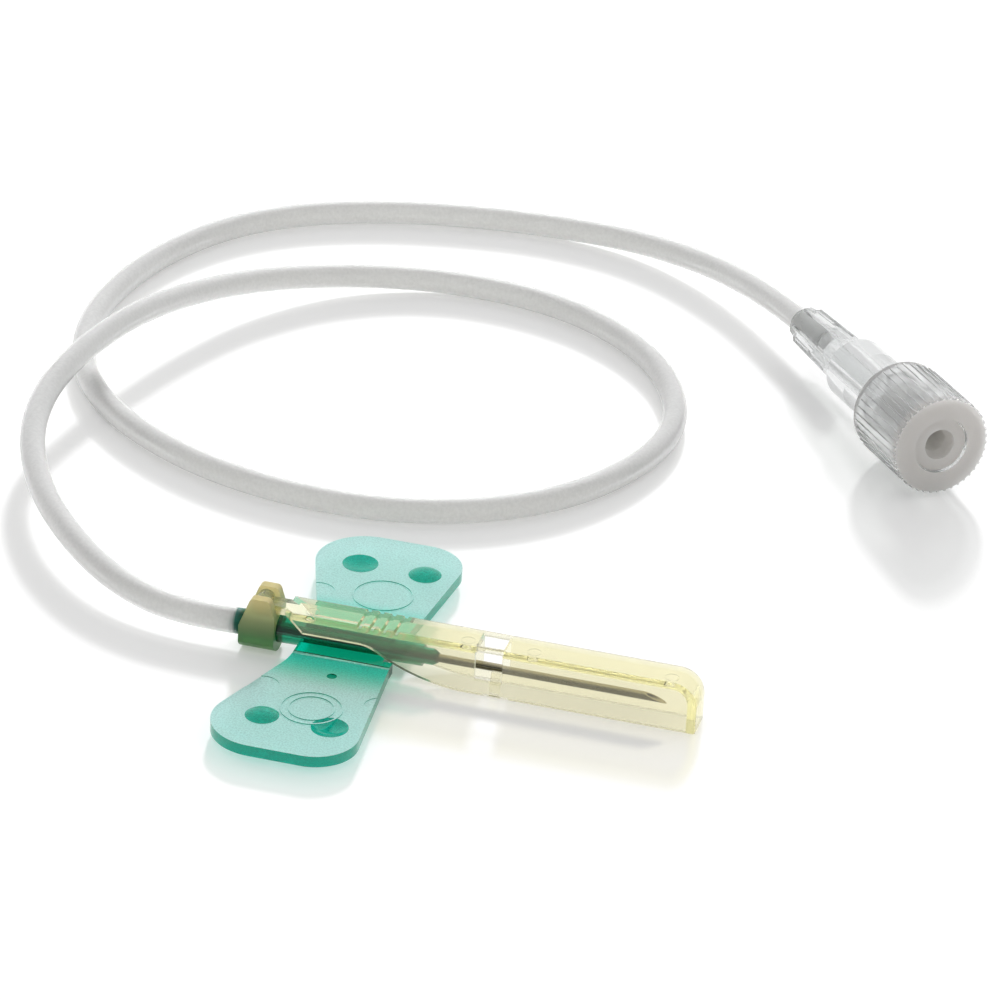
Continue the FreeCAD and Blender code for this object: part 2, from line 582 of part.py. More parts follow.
def make_shield():
    """Channel open below that closes over the needle, with hinge knuckle, window and hook."""
    body = body_named("safety_shield")
    sweep = "(Sizes.drop_angle * 1 deg)"
    shallow_z = f"({SHIELD_TOP_Z} - Sizes.shallow_side)"
    drop_x = f"({SHIELD_X} + Sizes.drop_setback)"
    bend_x = f"({drop_x} + Sizes.drop_radius * sin({sweep}))"
    bend_z = f"({shallow_z} - Sizes.drop_radius * (1 - cos({sweep})))"
    run_radius = f"({bend_z} / (1 - cos({sweep})))"
    side = sketch_on(body, "shield_side", "XZ_Plane")
    draw_outline(side, [
        (SHIELD_X, SHIELD_TOP_Z),
        (f"{SHIELD_END_X} - Sizes.nose_round", SHIELD_TOP_Z, "Sizes.nose_round", -1),
        (SHIELD_END_X, f"{SHIELD_TOP_Z} - Sizes.nose_round"),
        (SHIELD_END_X, "0"),
        (f"{bend_x} + {run_radius} * sin({sweep})", "0", run_radius, -1),
        (bend_x, bend_z, "Sizes.drop_radius", 1),
        (drop_x, shallow_z),
        (f"{SHIELD_X} + Sizes.rear_slope", shallow_z),
        (SHIELD_X, f"{SHIELD_TOP_Z} - Sizes.rear_face"),
    ])
    extrude(body, "Pad", "shield_block", side, "Sizes.shield_width", symmetric=True)
    half = value("Sizes.shield_width / 2")
    low = value(shallow_z)
    last = value(SHIELD_END_X)
    rounded_from = value(f"{SHIELD_END_X} - Sizes.nose_round")

    def outer_edge(edge):
        box = edge.BoundBox
        beside = box.YLength < 0.01 and abs(abs(box.YMin) - half) < 0.01
        on_roof = box.ZMin > low + 1 and box.XLength > 5
        on_nose = box.XMax > last - 0.01 and box.XMin > rounded_from - 0.01 and box.ZMax > low - 2
        return beside and (on_roof or on_nose)

    round_edges(body, "shield_rounding", "Sizes.shield_edge_radius", outer_edge)
    inner_round = "(Sizes.nose_round - Sizes.end_wall)"
    channel = sketch_on(body, "channel_profile", "XZ_Plane")
    draw_outline(channel, [
        (f"{SHIELD_X} - 1", "-1"),
        (f"{SHIELD_X} - 1", CEILING_Z),
        (f"{SHIELD_INNER_X} - {inner_round}", CEILING_Z, inner_round, -1),
        (SHIELD_INNER_X, f"{CEILING_Z} - {inner_round}"),
        (SHIELD_INNER_X, "-1"),
    ])
    extrude(body, "Pocket", "channel", channel, f"2 * {CHANNEL_HALF}", symmetric=True)
    window_x = f"({SHIELD_X} + Sizes.window_setback)"
    window_end = f"({window_x} + Sizes.window_length)"
    roof_window = sketch_on(body, "roof_window_profile", "XZ_Plane")
    draw_outline(roof_window, rectangle(window_x, f"{CEILING_Z} - 0.2", window_end, f"{SHIELD_TOP_Z} + 1"))
    extrude(body, "Pocket", "roof_window", roof_window, f"2 * {CHANNEL_HALF}", symmetric=True)
    side_window = sketch_on(body, "side_window_profile", "XZ_Plane")
    rail_z = f"{SHIELD_TOP_Z} - Sizes.window_rail"
    draw_outline(side_window, rectangle(window_x, "Sizes.window_sill", window_end, rail_z))
    extrude(body, "Pocket", "side_windows", side_window, "Sizes.shield_width + 2", symmetric=True)
    grips = sketch_on(body, "grip_profiles", "XZ_Plane")
    for index in range(round(value("Sizes.grip_count"))):
        middle = f"({SHIELD_X} + Sizes.grip_setback + {index} * Sizes.grip_pitch)"
        draw_outline(grips, [
            (f"{middle} - Sizes.grip_width / 2", f"{SHIELD_TOP_Z} + 0.1"),
            (f"{middle} - Sizes.grip_width / 4", f"{SHIELD_TOP_Z} - Sizes.grip_depth"),
            (f"{middle} + Sizes.grip_width / 4", f"{SHIELD_TOP_Z} - Sizes.grip_depth"),
            (f"{middle} + Sizes.grip_width / 2", f"{SHIELD_TOP_Z} + 0.1"),
        ])
    extrude(body, "Pocket", "grip_grooves", grips, "Sizes.shield_width + 1", symmetric=True)
    marks = sketch_on(body, "ejector_marks", "XY_Plane", ("0", "0", CEILING_Z))
    for place in ("ejector_rear", "ejector_middle", "ejector_front", "ejector_tip"):
        draw_circle(marks, f"{SHIELD_X} + Sizes.{place}", "0", "Sizes.ejector_radius")
    extrude(body, "Pocket", "ejector_dishes", marks, "Sizes.ejector_depth", reverse=True)
    # Hook arm: rises from the right side wall, leans inwards and ends beside the needle
    hook = sketch_on(body, "hook_section", "YZ_Plane", ("0", "0", f"{window_x} + Sizes.window_length / 2"
                                                        " + Sizes.hook_offset"))
    tip_y = "-(Sizes.needle_radius + Sizes.hook_tip_gap)"
    tip_z = f"({AXIS_Z} - Sizes.hook_offset)"
    draw_outline(hook, [
        (f"-{CHANNEL_HALF} - Sizes.hook_root_sink", "Sizes.hook_foot"),
        (f"-{CHANNEL_HALF} + Sizes.hook_root_width", "Sizes.hook_foot"),
        (tip_y, f"{tip_z} - Sizes.hook_thickness / 2"),
        (tip_y, tip_z),
        (f"{tip_y} - Sizes.hook_thickness", tip_z),
        (f"-{CHANNEL_HALF} - Sizes.hook_root_sink", "Sizes.hook_root_top"),
    ])
    extrude(body, "Pad", "hook_arm", hook, "Sizes.hook_width")
    bar = sketch_on(body, "hinge_bar_profile", "XZ_Plane")
    draw_outline(bar, rectangle(PIN_X, CEILING_Z, f"{SHIELD_X} + 1", SHIELD_TOP_Z))
    extrude(body, "Pad", "hinge_bar", bar, KNUCKLE_WIDTH, symmetric=True)
    knuckle = sketch_on(body, "knuckle_profile", "XZ_Plane")
    draw_circle(knuckle, PIN_X, PIN_Z, "Sizes.knuckle_radius")
    extrude(body, "Pad", "hinge_knuckle", knuckle, KNUCKLE_WIDTH, symmetric=True)
    stub = sketch_on(body, "pin_profile", "XZ_Plane")
    draw_circle(stub, PIN_X, PIN_Z, "Sizes.pin_radius")
    pin_span = "Sizes.ear_slot + 2 * (Sizes.eye_depth - Sizes.pin_end_gap)"
    extrude(body, "Pad", "hinge_pins", stub, pin_span, symmetric=True)
    return body


def connector_placement():
    """Place and direction of the connector and its cap."""
    base = FreeCAD.Vector(
        value("Sizes.connector_x"), value("Sizes.connector_y"), value("Sizes.connector_height"))
    heading = FreeCAD.Rotation(FreeCAD.Vector(0, 0, 1), -value("Sizes.connector_turn"))
    tilt = FreeCAD.Rotation(FreeCAD.Vector(0, 1, 0), -value("Sizes.connector_tilt"))
    return FreeCAD.Placement(base, heading.multiply(tilt))


def make_connector():
    """Clear lock connector with four fins, a socket for the tube and a conical mouth."""
    body = body_named("lock_connector")
    profile = sketch_on(body, "connector_profile", "XZ_Plane")
    cone_x = "(Sizes.connector_length - Sizes.cone_depth)"
    cone_end = "(Sizes.cone_mouth_radius - Sizes.cone_depth * Sizes.cone_taper)"
    flare_x = "(Sizes.connector_waist + Sizes.connector_flare)"
    draw_outline(profile, [
        ("0", "Sizes.socket_radius"),
        ("Sizes.socket_depth", "Sizes.socket_radius"),
        ("Sizes.socket_depth", "Sizes.passage_radius"),
        (cone_x, "Sizes.passage_radius"),
        (cone_x, cone_end),
        ("Sizes.connector_length", "Sizes.cone_mouth_radius"),
        ("Sizes.connector_length", "Sizes.mouth_radius"),
        ("Sizes.barrel_end", "Sizes.mouth_radius"),
        ("Sizes.barrel_end", "Sizes.barrel_radius"),
        (flare_x, "Sizes.barrel_radius"),
        ("Sizes.connector_waist", "Sizes.connector_waist_radius"),
        ("0", "Sizes.connector_rear_radius"),
    ])
    turn(body, "Revolution", "connector_turned", profile, "H_Axis")
    fin = sketch_on(body, "fin_profile", "XZ_Plane")
    draw_outline(fin, [
        ("Sizes.fin_start", "Sizes.socket_radius + Sizes.fin_root_gap"),
        ("Sizes.fin_length", "Sizes.socket_radius + Sizes.fin_root_gap"),
        ("Sizes.fin_length", "Sizes.barrel_radius - Sizes.fin_front_drop"),
        ("Sizes.fin_step", "Sizes.fin_radius"),
        ("Sizes.fin_step", "Sizes.fin_radius - Sizes.fin_step_height"),
        ("Sizes.fin_start", "Sizes.fin_rear_radius"),
    ])
    first_fin = extrude(body, "Pad", "fin", fin, "Sizes.fin_thickness", symmetric=True)
    polar(body, "fins", first_fin, fin, "Sizes.fin_count")
    lug = sketch_on(body, "lug_profile", "XZ_Plane")
    lug_x = "(Sizes.connector_length - Sizes.lug_length)"
    lug_low = "Sizes.mouth_radius - Sizes.lug_sink"
    draw_outline(lug, rectangle(lug_x, lug_low, "Sizes.connector_length", "Sizes.lug_radius"))
    first_lug = extrude(body, "Pad", "lug", lug, "Sizes.lug_width", symmetric=True)
    polar(body, "lugs", first_lug, lug, "Sizes.lug_count")
    body.Placement = connector_placement()
    return body


def make_cap():
    """Ribbed closing cap with an inner plug that seals the connector's cone."""
    body = body_named("closing_cap")
    rear_x = "(Sizes.barrel_end + Sizes.cap_gap)"
    front_x = f"({rear_x} + Sizes.cap_length)"
    wall_x = f"({front_x} - Sizes.cap_front_wall)"
    tip_x = f"({wall_x} - Sizes.plug_length)"
    mouth = "(Sizes.cone_mouth_radius - Sizes.plug_fit)"
    root_radius = f"({mouth} + ({wall_x} - Sizes.connector_length) * Sizes.cone_taper)"
    tip_radius = f"({mouth} - (Sizes.connector_length - {tip_x}) * Sizes.cone_taper)"
    profile = sketch_on(body, "cap_profile", "XZ_Plane")
    draw_outline(profile, [
        (tip_x, "Sizes.plug_bore_radius"),
        (f"{front_x} - Sizes.face_hole_depth - Sizes.face_hole_cone", "Sizes.plug_bore_radius"),
        (f"{front_x} - Sizes.face_hole_depth", "Sizes.face_hole_radius"),
        (f"{front_x} - Sizes.face_ring_depth", "Sizes.face_hole_radius"),
        (f"{front_x} - Sizes.face_ring_depth", "Sizes.face_ring_radius"),
        (front_x, "Sizes.face_ring_radius + Sizes.face_ring_slope"),
        (front_x, "Sizes.cap_radius"),
        (rear_x, "Sizes.cap_radius"),
        (rear_x, "Sizes.cap_bore_radius"),
        (wall_x, "Sizes.cap_bore_radius"),
        (wall_x, root_radius),
        (tip_x, tip_radius),
    ])
    turn(body, "Revolution", "cap_turned", profile, "H_Axis")
    rib = sketch_on(body, "rib_section", "YZ_Plane", ("0", "0", f"{rear_x} + Sizes.cap_rim"))
    draw_outline(rib, [
        ("-Sizes.cap_rib_width / 2", "Sizes.cap_radius - Sizes.cap_rib_sink"),
        ("Sizes.cap_rib_width / 2", "Sizes.cap_radius - Sizes.cap_rib_sink"),
        ("Sizes.cap_rib_width / 4", "Sizes.cap_radius + Sizes.cap_rib_height"),
        ("-Sizes.cap_rib_width / 4", "Sizes.cap_radius + Sizes.cap_rib_height"),
    ])
    first_rib = extrude(body, "Pad", "rib", rib, "Sizes.cap_length - Sizes.cap_rim")
    polar(body, "ribs", first_rib, profile, "Sizes.cap_rib_count")
    body.Placement = connector_placement()
    return body


# Route of the tube's middle, from the collar's rear face to the connector
ROUTE = [
    (-27.6, -0.35, 2.1),
    (-34.5, 2.0, 2.5),
    (-41.0, 7.1, 3.2),
    (-47.2, 14.6, 3.7),
    (-51.8, 23.8, 4.2),
    (-53.5, 32.4, 4.8),
    (-53.1, 40.2, 5.2),
    (-51.9, 47.4, 5.2),
    (-50.0, 54.2, 4.9),
    (-47.3, 61.0, 4.1),
    (-42.6, 68.7, 2.9),
    (-34.8, 75.3, 1.8),
    (-24.5, 79.0, 1.25),
    (-12.6, 77.9, 1.25),
    (-3.2, 72.6, 1.25),
    (3.0, 65.5, 1.25),
    (6.4, 56.6, 1.25),
    (6.1, 48.2, 1.25),
    (2.1, 38.9, 1.25),
    (-4.3, 32.2, 1.25),
    (-13.0, 28.1, 1.25),
    (-21.2, 27.1, 1.25),
    (-29.9, 28.0, 1.25),
    (-38.9, 31.2, 1.25),
    (-47.6, 37.1, 1.25),
    (-53.5, 44.5, 1.25),
    (-56.5, 53.0, 1.25),
    (-57.3, 62.0, 1.25),
    (-55.7, 72.3, 1.25),
    (-51.3, 82.2, 1.25),
    (-44.6, 88.8, 1.25),
    (-36.2, 92.9, 1.25),
    (-27.2, 95.2, 1.25),
    (-17.9, 96.2, 1.25),
    (-7.3, 94.9, 1.7),
    (3.2, 89.3, 2.7),
]


def rounded_path(points):
    """Straight runs joined by tangent arcs as large as the two runs at each point allow."""
    share = 0.45
    edges = []
    radii = []
    start = points[0]
    for before, corner, after in zip(points, points[1:], points[2:]):
        arriving = (corner - before).normalize()
        leaving = (after - corner).normalize()
        half_turn = arriving.getAngle(leaving) / 2
        cut = share * min((corner - before).Length, (after - corner).Length)
        radius = cut / math.tan(half_turn)
        arc_start = corner - arriving * cut
        arc_end = corner + leaving * cut
        inward = (leaving - arriving).normalize()
        top = corner + inward * (radius / math.cos(half_turn) - radius)
        edges.append(Part.LineSegment(start, arc_start).toShape())
        edges.append(Part.Arc(arc_start, top, arc_end).toShape())
        radii.append(radius)
        start = arc_end
    edges.append(Part.LineSegment(start, points[-1]).toShape())
    return Part.Wire(edges), radii


def make_tube():
    """Flexible tube that lies in two loops on the table."""
    axis_z = value(AXIS_Z)
    place = connector_placement()
    direction = place.Rotation.multVec(FreeCAD.Vector(1, 0, 0))
    points = [FreeCAD.Vector(value(COLLAR_X), 0, axis_z)]
    points += [FreeCAD.Vector(*point) for point in ROUTE]
    points.append(place.Base - direction * (value("Sizes.socket_depth") / 2))
    points.append(place.Base + direction * value("Sizes.socket_depth"))
    path, radii = rounded_path(points)
    along = FreeCAD.Vector(points[1] - points[0]).normalize()
    outer = Part.Face(Part.Wire(Part.makeCircle(value("Sizes.tube_radius"), points[0], along)))
    inner = Part.Face(Part.Wire(Part.makeCircle(value("Sizes.tube_bore_radius"), points[0], along)))
    solid = path.makePipe(outer.cut(inner))
    tube = DOCUMENT.addObject("Part::Feature", "tube")
    tube.Label = "tube"
    tube.Shape = solid
    area = math.pi * (value("Sizes.tube_radius") ** 2 - value("Sizes.tube_bore_radius") ** 2)
    print("tube arc radii", [round(radius, 1) for radius in radii])
    print("tube length", round(path.Length, 2), "volume", round(tube.Shape.Volume, 2),
          "section by length", round(area * path.Length, 2))
    return tube


def check_document(pieces):
    """Stop when any object failed or any piece has no valid solid."""
    for item in DOCUMENT.Objects:
        if "Invalid" in item.State or "Error" in item.State:
            raise RuntimeError(f"{item.Name} did not build: {item.State}")
    for piece in pieces:
        if piece.Shape.isNull() or not piece.Shape.isValid():
            raise RuntimeError(f"{piece.Label} has no valid shape")


def main():
    pieces = [
        make_hub(),
        make_needle(),
        make_wing("wing_left", 1),
        make_wing("wing_right", -1),
        make_collar(),
        make_shield(),
        make_connector(),
        make_cap(),
        make_tube(),
    ]
    DOCUMENT.recompute()
    check_document(pieces)
    os.makedirs("parts", exist_ok=True)
    for piece in pieces:
        piece.Shape.exportStep(f"parts/{piece.Label}.step")
        box = piece.Shape.BoundBox
        print(piece.Label, "solids", len(piece.Shape.Solids), "volume", round(piece.Shape.Volume, 2),
              "box", [round(number, 2) for number in
                      (box.XMin, box.YMin, box.ZMin, box.XMax, box.YMax, box.ZMax)])
    print("pin", round(value(PIN_X), 4), round(value(PIN_Z), 4),
          "fold", value("Sizes.fold_half_width"), round(value(f"{PLATE_TOP_Z} - Sizes.groove_depth"), 4))


main()
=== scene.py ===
"""Looks of a safety winged infusion set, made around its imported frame."""

import json
import math

import bpy
from mathutils import Matrix, Vector


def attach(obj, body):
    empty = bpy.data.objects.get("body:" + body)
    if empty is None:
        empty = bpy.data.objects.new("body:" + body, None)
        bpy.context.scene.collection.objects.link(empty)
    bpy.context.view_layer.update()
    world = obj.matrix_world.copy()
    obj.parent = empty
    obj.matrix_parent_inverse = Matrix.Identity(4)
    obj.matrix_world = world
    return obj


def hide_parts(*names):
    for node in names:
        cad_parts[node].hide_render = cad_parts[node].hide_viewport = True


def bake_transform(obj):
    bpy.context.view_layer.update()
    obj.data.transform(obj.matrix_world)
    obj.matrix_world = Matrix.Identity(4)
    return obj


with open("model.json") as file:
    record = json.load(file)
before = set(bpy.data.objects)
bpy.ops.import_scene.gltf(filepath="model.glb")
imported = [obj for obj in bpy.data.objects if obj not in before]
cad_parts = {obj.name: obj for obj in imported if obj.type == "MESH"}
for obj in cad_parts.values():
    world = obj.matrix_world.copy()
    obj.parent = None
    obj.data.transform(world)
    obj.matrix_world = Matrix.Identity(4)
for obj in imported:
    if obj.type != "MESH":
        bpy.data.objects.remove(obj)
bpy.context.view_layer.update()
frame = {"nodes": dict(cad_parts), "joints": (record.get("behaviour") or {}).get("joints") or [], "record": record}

bl_info = {
    "name": "Winged Infusion Set",
    "version": (1, 0, 0),
    "blender": (4, 5, 0),
    "location": "View3D > Sidebar > Infusion Set",
    "description": "Finishes, tubing and stage of a safety winged infusion set",
    "category": "Object",
}

MM = 0.001

# Ends of the hub's plate along the fold lines, in millimetres
HUB_PLATE_MM = (-15.675, -6.28)

# Height of the wings' top faces, in millimetres
WING_TOP_MM = 1.85

# Where the painted shade at a wing's root fades out to its pale green, from and to, measured from the needle's
# middle plane in millimetres
WING_PAINTED_SHADE_MM = (4.2, 9.0)

# Middle of the tube's end at the collar, in millimetres
TUBE_END_MM = (-21.525, 0.0, 2.2)

# How far from that middle the spigot's green shows through the tube and has ended, in millimetres
SPIGOT_SHOWS_MM = (1.4, 1.55)

# Length of the connector, the tube's straight run before it and the depth of its socket, in millimetres
CONNECTOR_LENGTH_MM = 28.2
STRAIGHT_RUN_MM = 3.0
SOCKET_DEPTH_MM = 6.0

# Radius round the connector's axis inside which the cap is frosted all through, in millimetres
CAP_PLUG_MM = 2.6

# Heights between which the collar's painted shade fades out upwards, in millimetres
COLLAR_PAINTED_SHADE_MM = (1.7, 5.6)

# Half the width of the film at each fold, its rise over its edges, and their height above the joint's
# axis, in millimetres
FILM_HALF_MM = 0.21
FILM_RISE_MM = 0.12
FILM_LIFT_MM = 0.15

# Corners of the film's rounded section
FILM_CORNERS = 7

# The tube's route from the collar's rear face to the connector, in millimetres
ROUTE_MM = [
    (-27.6, -0.35, 2.1),
    (-34.5, 2.0, 2.5),
    (-41.0, 7.1, 3.2),
    (-47.2, 14.6, 3.7),
    (-51.8, 23.8, 4.2),
    (-53.5, 32.4, 4.8),
    (-53.1, 40.2, 5.2),
    (-51.9, 47.4, 5.2),
    (-50.0, 54.2, 4.9),
    (-47.3, 61.0, 4.1),
    (-42.6, 68.7, 2.9),
    (-34.8, 75.3, 1.8),
    (-24.5, 79.0, 1.25),
    (-12.6, 77.9, 1.25),
    (-3.2, 72.6, 1.25),
    (3.0, 65.5, 1.25),
    (6.4, 56.6, 1.25),
    (6.1, 48.2, 1.25),
    (2.1, 38.9, 1.25),
    (-4.3, 32.2, 1.25),
    (-13.0, 28.1, 1.25),
    (-21.2, 27.1, 1.25),
    (-29.9, 28.0, 1.25),
    (-38.9, 31.2, 1.25),
    (-47.6, 37.1, 1.25),
    (-53.5, 44.5, 1.25),
    (-56.5, 53.0, 1.25),
    (-57.3, 62.0, 1.25),
    (-55.7, 72.3, 1.25),
    (-51.3, 82.2, 1.25),
    (-44.6, 88.8, 1.25),
    (-36.2, 92.9, 1.25),
    (-27.2, 95.2, 1.25),
    (-17.9, 96.2, 1.25),
    (-7.3, 94.9, 1.7),
    (3.2, 89.3, 2.7),
]

# Colours of the finishes
# Painted shade: a wing's faces are deeper green near the root, where the hub and shield shade them
WING_ROOT_PAINTED_SHADE = (0.05, 0.95, 0.80)
WING_OUTER = (0.76, 0.98, 0.97)
# Painted shade: the wing's sides, edges and dimples are darker and deeper green than its flat faces
WING_SIDES_PAINTED_SHADE = (0.0, 0.52, 0.38)
# Painted shade on the hub's round barrel; its upward flats are the lit colour
HUB_BARREL_PAINTED_SHADE = (0.0, 0.40, 0.25)
HUB_FLATS = (0.0, 0.86, 0.66)
# Painted highlight: the fold film's pale milky green stands in for the bright line along each fold
FOLD_FILM_PAINTED_HIGHLIGHT = (0.28, 0.92, 0.80)
TUBE_MILK = (0.95, 0.95, 0.935)
TUBE_OVER_SPIGOT = (0.01, 0.13, 0.10)
COLLAR_TOP = (0.92, 0.80, 0.42)
# Painted shade at the collar's foot, tinted with the hub's green
COLLAR_FOOT_PAINTED_SHADE = (0.13, 0.37, 0.12)
SHIELD_CLEAR = (0.97, 0.955, 0.88)
CONNECTOR_CLEAR = (0.80, 0.81, 0.81)
CAP_SKIRT = (0.97, 0.98, 0.98)
CAP_FROST = (0.70, 0.68, 0.66)
# Painted highlight on the needle's top and painted shade on its sides
STEEL_TOP_PAINTED_HIGHLIGHT = (0.58, 0.53, 0.38)
STEEL_SIDES_PAINTED_SHADE = (0.09, 0.085, 0.06)
FLOOR_WHITE = (0.82, 0.82, 0.82)
WHITE = (1.0, 1.0, 1.0)

# Spread of the light inside a milky plastic, the same for red, green and blue
EVEN_SPREAD = (1.0, 1.0, 1.0)

# Colours of the lamp's light behind each plastic
WING_SHADOW = (0.60, 0.68, 0.64)
HUB_SHADOW = (0.25, 0.68, 0.56)
FILM_SHADOW = (0.72, 0.73, 0.72)
TUBE_SHADOW = (0.5, 0.5, 0.49)
COLLAR_SHADOW = (0.45, 0.47, 0.40)
SHIELD_SHADOW = (0.84, 0.83, 0.80)
CONNECTOR_SHADOW = (0.84, 0.85, 0.84)
CAP_SHADOW = (0.62, 0.63, 0.62)


def cap_axis():
    """Direction in which the cap pulls off the connector."""
    joint = next(joint for joint in frame["joints"] if joint["name"] == "cap_pull")
    return Vector(joint["axis"]).normalized()


def connector_mouth():
    """Middle of the connector's conical mouth."""
    mounts = frame["record"]["mounts"]
    return Vector(next(mount["pos_m"] for mount in mounts if mount["name"] == "connector_cone"))


class InfusionStageSettings(bpy.types.PropertyGroup):
    """Camera, lamp and floor."""

    azimuth: bpy.props.FloatProperty(
        name="Camera azimuth", description="Turn of the camera to the right of the front",
        default=math.radians(14.5), subtype="ANGLE")
    elevation: bpy.props.FloatProperty(
        name="Camera elevation", description="Height of the camera above the horizon",
        default=math.radians(28.3), subtype="ANGLE")
    roll: bpy.props.FloatProperty(
        name="Camera roll", description="Clockwise turn of the object in the picture",
        default=math.radians(3.0), subtype="ANGLE")
    focal: bpy.props.FloatProperty(
        name="Focal length", description="Focal length in millimetres on a 36 mm sensor",
        default=198.0, min=20.0, max=400.0)
    distance: bpy.props.FloatProperty(
        name="Distance", description="From the camera to the aimed point, along the view",
        default=0.5122, subtype="DISTANCE")
    key_watts: bpy.props.FloatProperty(
        name="Back lamp", description="Power of the low lamp behind the object, in watts",
        default=70.0, min=0.0)
    sky: bpy.props.FloatProperty(
        name="Sky", description="Strength of the light behind and beside the object",
        default=0.84, min=0.0, max=2.0)
    front_sky: bpy.props.FloatProperty(
        name="Front sky", description="Strength of the light in front of the object and above it",
        default=0.54, min=0.0, max=2.0)
    floor_glow: bpy.props.FloatProperty(
        name="Floor white", description="White that the floor adds where it is looked at",
        default=0.2, min=0.0, max=1.0)


class InfusionTubeSettings(bpy.types.PropertyGroup):
    """The flexible tube."""

    diameter: bpy.props.FloatProperty(
        name="Outside diameter", description="Outside diameter of the tube",
        default=2.5 * MM, subtype="DISTANCE")
    bore: bpy.props.FloatProperty(
        name="Bore", description="Inside diameter of the tube",
        default=1.54 * MM, subtype="DISTANCE")
    length: bpy.props.FloatProperty(
        name="Length", description="Real length of the tube",
        default=0.355, subtype="DISTANCE")
    sides: bpy.props.IntProperty(
        name="Sides", description="Faces around the tube", default=28, min=8, max=64)


class InfusionPlasticSettings(bpy.types.PropertyGroup):
    """Colours that deepen with the plastics' thickness."""

    green: bpy.props.FloatVectorProperty(
        name="Sea green", description="Colour that thick green plastic lets through",
        default=(0.0, 0.88, 0.78), subtype="COLOR", size=3)
    green_depth: bpy.props.FloatProperty(
        name="Green strength", description="How fast the green deepens, per metre",
        default=230.0, min=0.0)
    deep_green: bpy.props.FloatVectorProperty(
        name="Hub green", description="Colour that the thick hub lets through",
        default=(0.0, 0.64, 0.46), subtype="COLOR", size=3)
    deep_green_depth: bpy.props.FloatProperty(
        name="Hub green strength", description="How fast the hub's green deepens, per metre",
        default=420.0, min=0.0)
    straw: bpy.props.FloatVectorProperty(
        name="Straw", description="Colour that thick shield plastic lets through",
        default=(0.95, 0.915, 0.38), subtype="COLOR", size=3)
    straw_depth: bpy.props.FloatProperty(
        name="Straw strength", description="How fast the straw deepens, per metre",
        default=300.0, min=0.0)


def settings(name):
    """One of the add-on's groups of settings."""
    return getattr(bpy.context.scene, name)


def opaque(color):
    """Colour with full alpha."""
    return (*color, 1.0)


def feed(tree, socket, value):
    """Link a socket to another one, or set it to a plain value."""
    if isinstance(value, bpy.types.NodeSocket):
        tree.links.new(value, socket)
    else:
        socket.default_value = value


def add_node(tree, kind, *inputs, **values):
    """New shader node, with its inputs fed in their order.

    A named value goes to the input of that name, or else to the node's own field.
    """
    node = tree.nodes.new(kind)
    for name, value in values.items():
        label = name.replace("_", " ")
        socket = next((item for item in node.inputs if item.name.lower() == label and item.enabled), None)
        if socket is None:
            setattr(node, name, value)
        else:
            feed(tree, socket, value)
    for socket, value in zip(node.inputs, inputs):
        feed(tree, socket, value)
    return node


def new_material(name):
    """Material with an empty node tree."""
    material = bpy.data.materials.new(name)
    material.use_nodes = True
    material.node_tree.nodes.clear()
    return material, material.node_tree


def own_place(tree):
    """Position in the piece's own frame."""
    return add_node(tree, "ShaderNodeTexCoord").outputs["Object"]


def own_normal(tree):
    """Direction of the surface in the piece's own frame."""
    return add_node(tree, "ShaderNodeTexCoord").outputs["Normal"]


def coordinate(tree, vector, axis):
    """One coordinate of a vector."""
    return add_node(tree, "ShaderNodeSeparateXYZ", vector).outputs[axis]


def math_result(tree, operation, *inputs):
    """Result of a math node."""
    return add_node(tree, "ShaderNodeMath", *inputs, operation=operation).outputs[0]


def vector_result(tree, operation, *inputs):
    """Result of a vector math node, a number where the operation gives one."""
    output = "Value" if operation in ("DISTANCE", "DOT_PRODUCT", "LENGTH") else "Vector"
    return add_node(tree, "ShaderNodeVectorMath", *inputs, operation=operation).outputs[output]


def ranged(tree, value, start, end, low=0.0, high=1.0, **fields):
    """Value's run from start to end, laid over the run from low to high."""
    return add_node(tree, "ShaderNodeMapRange", value=value, from_min=start, from_max=end,
                    to_min=low, to_max=high, **fields).outputs["Result"]


def noise_over(tree, scale, detail=3.0, place=None):
    """Fine noise over the object, or over another place."""
    vector = own_place(tree) if place is None else place
    return add_node(tree, "ShaderNodeTexNoise", vector=vector, scale=scale, detail=detail).outputs["Fac"]


def noise_range(tree, noise, low, high):
    """Noise laid over a range of values."""
    return ranged(tree, noise, 0.3, 0.7, low, high)


def ripple_of(tree, height, strength, depth_mm):
    """Normal of a surface with a fine relief."""
    return add_node(tree, "ShaderNodeBump", strength=strength, distance=depth_mm * MM,
                    height=height).outputs[0]


def between(tree, factor, first, second):
    """Colour that goes from first to second with the factor. Each is a colour or a socket."""
    blend = add_node(tree, "ShaderNodeMix", factor, data_type="RGBA")
    for color, socket in ((first, blend.inputs[6]), (second, blend.inputs[7])):
        feed(tree, socket, color if isinstance(color, bpy.types.NodeSocket) else opaque(color))
    return blend.outputs[2]


def scaled(tree, color, factor):
    """Colour made lighter or darker by a factor."""
    tone = add_node(tree, "ShaderNodeVectorMath", color, operation="SCALE")
    tree.links.new(factor, tone.inputs["Scale"])
    return tone.outputs[0]


def let_lamps_through(tree, surface, tint):
    """Plastic that throws a pale tinted shadow, not a black one."""
    shadow_ray = add_node(tree, "ShaderNodeLightPath").outputs["Is Shadow Ray"]
    through = add_node(tree, "ShaderNodeBsdfTransparent", color=opaque(tint))
    return add_node(tree, "ShaderNodeMixShader", shadow_ray, surface, through.outputs[0]).outputs[0]


def finish_tree(tree, surface, volume=None):
    """Output node of a material."""
    output = add_node(tree, "ShaderNodeOutputMaterial")
    tree.links.new(surface, output.inputs["Surface"])
    if volume is not None:
        tree.links.new(volume, output.inputs["Volume"])


def absorbing(tree, color, density):
    """Inside of a clear plastic whose colour deepens with its thickness."""
    return add_node(tree, "ShaderNodeVolumeAbsorption", color=opaque(color), density=density).outputs[0]


